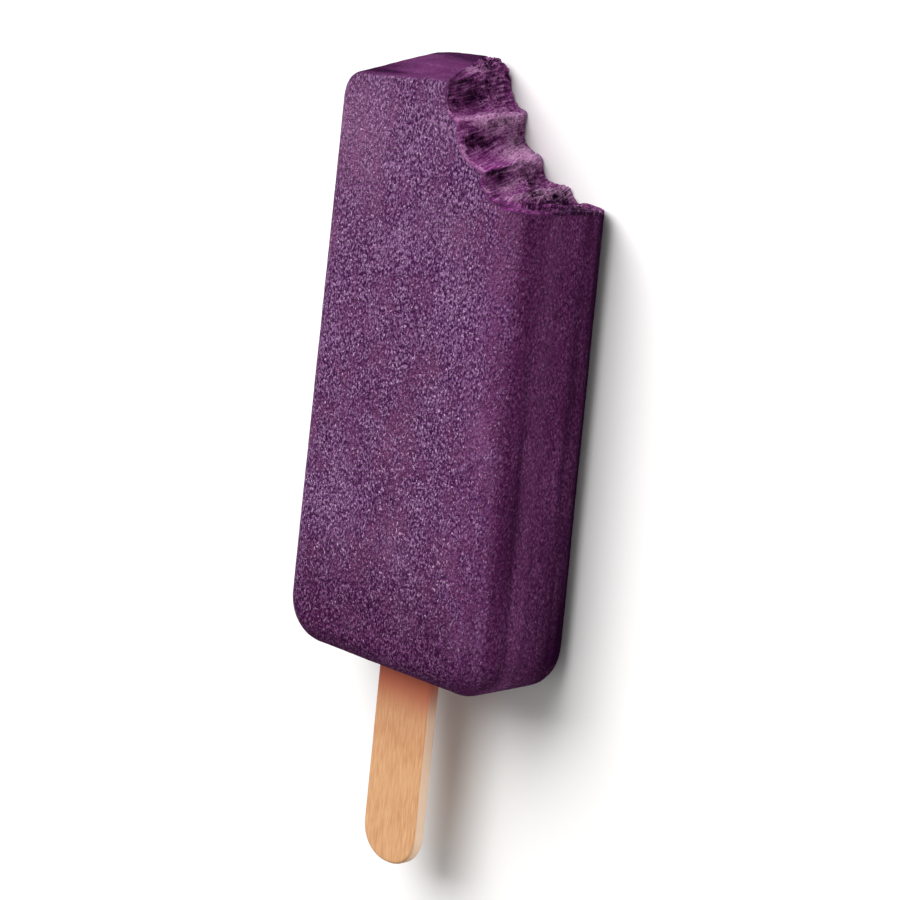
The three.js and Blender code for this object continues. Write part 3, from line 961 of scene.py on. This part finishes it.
# Sawn birch veneer, tumbled smooth and unvarnished: pale and matt with fine dark fibres along its
# length, and stained by the juice just below the ice
woodColours = {
    "dark": "#ad7b52",
    "body": "#ba8a5f",
    "light": "#c6996f",
    "edge": "#ffdcbd",          # the sawn edges: paler wood, with painted light where they face the side
    "stain": "#b05439",
    "rampStops": (0.34, 0.5, 0.66),
    "fibrePitch": 0.27,         # mm
    "fibreStretch": 0.09,       # fibres run along the stick
    "cloudPitch": 5,
    "cloudRange": (0.35, 0.7),
    "clouds": 0.35,
    "edgeFrom": 0.55,
    "stainStart": 2,            # below the ice
    "stainEnd": 9,
    "tint": 0.16,               # the juice has crept further, faintly
    "tintEnd": 19,
    "wobble": 2.5,              # the juice creeps further along some fibres
    "relief": 0.04,
    "roughness": 0.62,
}


def birchWood():
    material, tree = newMaterial("birchVeneerWood")
    where = addNode(tree, "TexCoord").outputs["Object"]
    along = stretch(tree, where, woodColours["fibreStretch"])
    fibres = texture(tree, along, woodColours["fibrePitch"], 3)
    clouds = texture(tree, where, woodColours["cloudPitch"], 2)
    tones = (woodColours[key] for key in ("dark", "body", "light"))
    wood = ramp(tree, fibres, zip(woodColours["rampStops"], tones))
    cloudAmount = ranged(tree, clouds, *woodColours["cloudRange"], 0, woodColours["clouds"])
    clouded = mix(tree, cloudAmount, wood, linear(woodColours["light"]))
    # Edges that face sideways are paler: paler sawn wood, with painted light on them
    facing = addNode(tree, "SeparateXYZ", {0: addNode(tree, "NewGeometry").outputs["Normal"]})
    sideways = addNode(tree, "Math", {0: facing.outputs["X"]}, operation="ABSOLUTE").outputs[0]
    paleLitEdgeAmount = ranged(tree, sideways, woodColours["edgeFrom"], 1)
    paleLitEdges = mix(tree, paleLitEdgeAmount, clouded, linear(woodColours["edge"]))

    y = addNode(tree, "SeparateXYZ", {0: where}).outputs["Y"]
    wobble = addNode(tree, "Math", {
        0: fibres, 1: woodColours["wobble"] * mm, 2: y}, operation="MULTIPLY_ADD").outputs[0]
    below = blockStart + woodColours["wobble"] / 2

    def stained(ground, start, end, amount):
        reach = ranged(tree, wobble, (below - end) * mm, (below - start) * mm, 0, amount, "SMOOTHSTEP")
        return mix(tree, reach, ground, linear(woodColours["stain"]))

    tinted = stained(paleLitEdges, woodColours["stainEnd"], woodColours["tintEnd"], woodColours["tint"])
    soaked = stained(tinted, woodColours["stainStart"], woodColours["stainEnd"], 1)
    bump = addNode(tree, "Bump", {
        "Height": fibres, "Strength": 1, "Distance": woodColours["relief"] * mm}).outputs[0]
    shader = addNode(tree, "BsdfPrincipled", {
        "Base Color": soaked, "Roughness": woodColours["roughness"], "IOR": 1.5, "Normal": bump})
    addNode(tree, "OutputMaterial", {"Surface": shader.outputs[0]})
    return material


# Floor, light and camera

studio = {
    "floorColour": "#e4e3e2",
    "floorRoughness": 0.9,
    "floorSize": 5.0,
    "worldColour": "#ffffff",
    "worldStrength": 0.42,
    "keyDirection": (-0.2, 0.8, 0.85),  # from the upper left, over the tip
    "keyDistance": 1.4,
    "keySize": 1.4,
    "keyPower": 40,
}

view = {
    "turn": 43.64,             # degrees from straight above the front, towards the bitten side
    "rise": 12.97,             # towards the tip
    "roll": 5.83,
    "distance": 534.9,
    "aim": (1.6, 32.86, 9.6),  # mm from the middle of the block's stick end, on the floor
    "lens": 147.33,
}


# Uncoated background paper, pressed smooth: an even pale grey with no shine
def makeFloor():
    half = studio["floorSize"] / 2
    corners = [(-half, -half, 0), (half, -half, 0), (half, half, 0), (-half, half, 0)]
    mesh = bpy.data.meshes.new("floor")
    mesh.from_pydata(corners, [], [(0, 1, 2, 3)])
    floor = bpy.data.objects.new("floor", mesh)
    bpy.context.scene.collection.objects.link(floor)
    material, tree = newMaterial("paperSweep")
    shader = addNode(tree, "BsdfPrincipled", {
        "Base Color": linear(studio["floorColour"]), "Roughness": studio["floorRoughness"]})
    addNode(tree, "OutputMaterial", {"Surface": shader.outputs[0]})
    mesh.materials.append(material)


def makeLight():
    world = bpy.data.worlds.new("studioWorld")
    world.use_nodes = True
    backdrop = world.node_tree.nodes["Background"]
    backdrop.inputs["Color"].default_value = linear(studio["worldColour"])
    backdrop.inputs["Strength"].default_value = studio["worldStrength"]
    bpy.context.scene.world = world
    lamp = bpy.data.lights.new("keyLight", "AREA")
    lamp.size = studio["keySize"]
    lamp.energy = studio["keyPower"]
    key = bpy.data.objects.new("keyLight", lamp)
    direction = Vector(studio["keyDirection"]).normalized()
    key.location = direction * studio["keyDistance"]
    key.rotation_euler = direction.to_track_quat("Z", "Y").to_euler()
    bpy.context.scene.collection.objects.link(key)
    bpy.context.scene.view_settings.view_transform = "Standard"


def makeCamera():
    turn, rise, roll = (math.radians(view[key]) for key in ("turn", "rise", "roll"))
    back = Vector((math.sin(turn) * math.cos(rise), math.sin(rise), math.cos(turn) * math.cos(rise)))
    side = Vector((math.cos(turn), 0, -math.sin(turn)))
    up = back.cross(side)
    right = side * math.cos(roll) + up * math.sin(roll)
    lens = bpy.data.cameras.new("camera")
    lens.lens = view["lens"]
    lens.sensor_width = 36
    lens.clip_start = 0.01
    camera = bpy.data.objects.new("camera", lens)
    axes = Matrix((right, back.cross(right), back)).transposed().to_4x4()
    aim = Vector(view["aim"]) + Vector((0, blockStart, 0))
    camera.matrix_world = Matrix.Translation((aim + back * view["distance"]) * mm) @ axes
    bpy.context.scene.collection.objects.link(camera)
    bpy.context.scene.camera = camera


iceBlock = makeIceBlock()
makeStick()
cutSlot(iceBlock)
makeFloor()
makeLight()
makeCamera()
print("scene built")
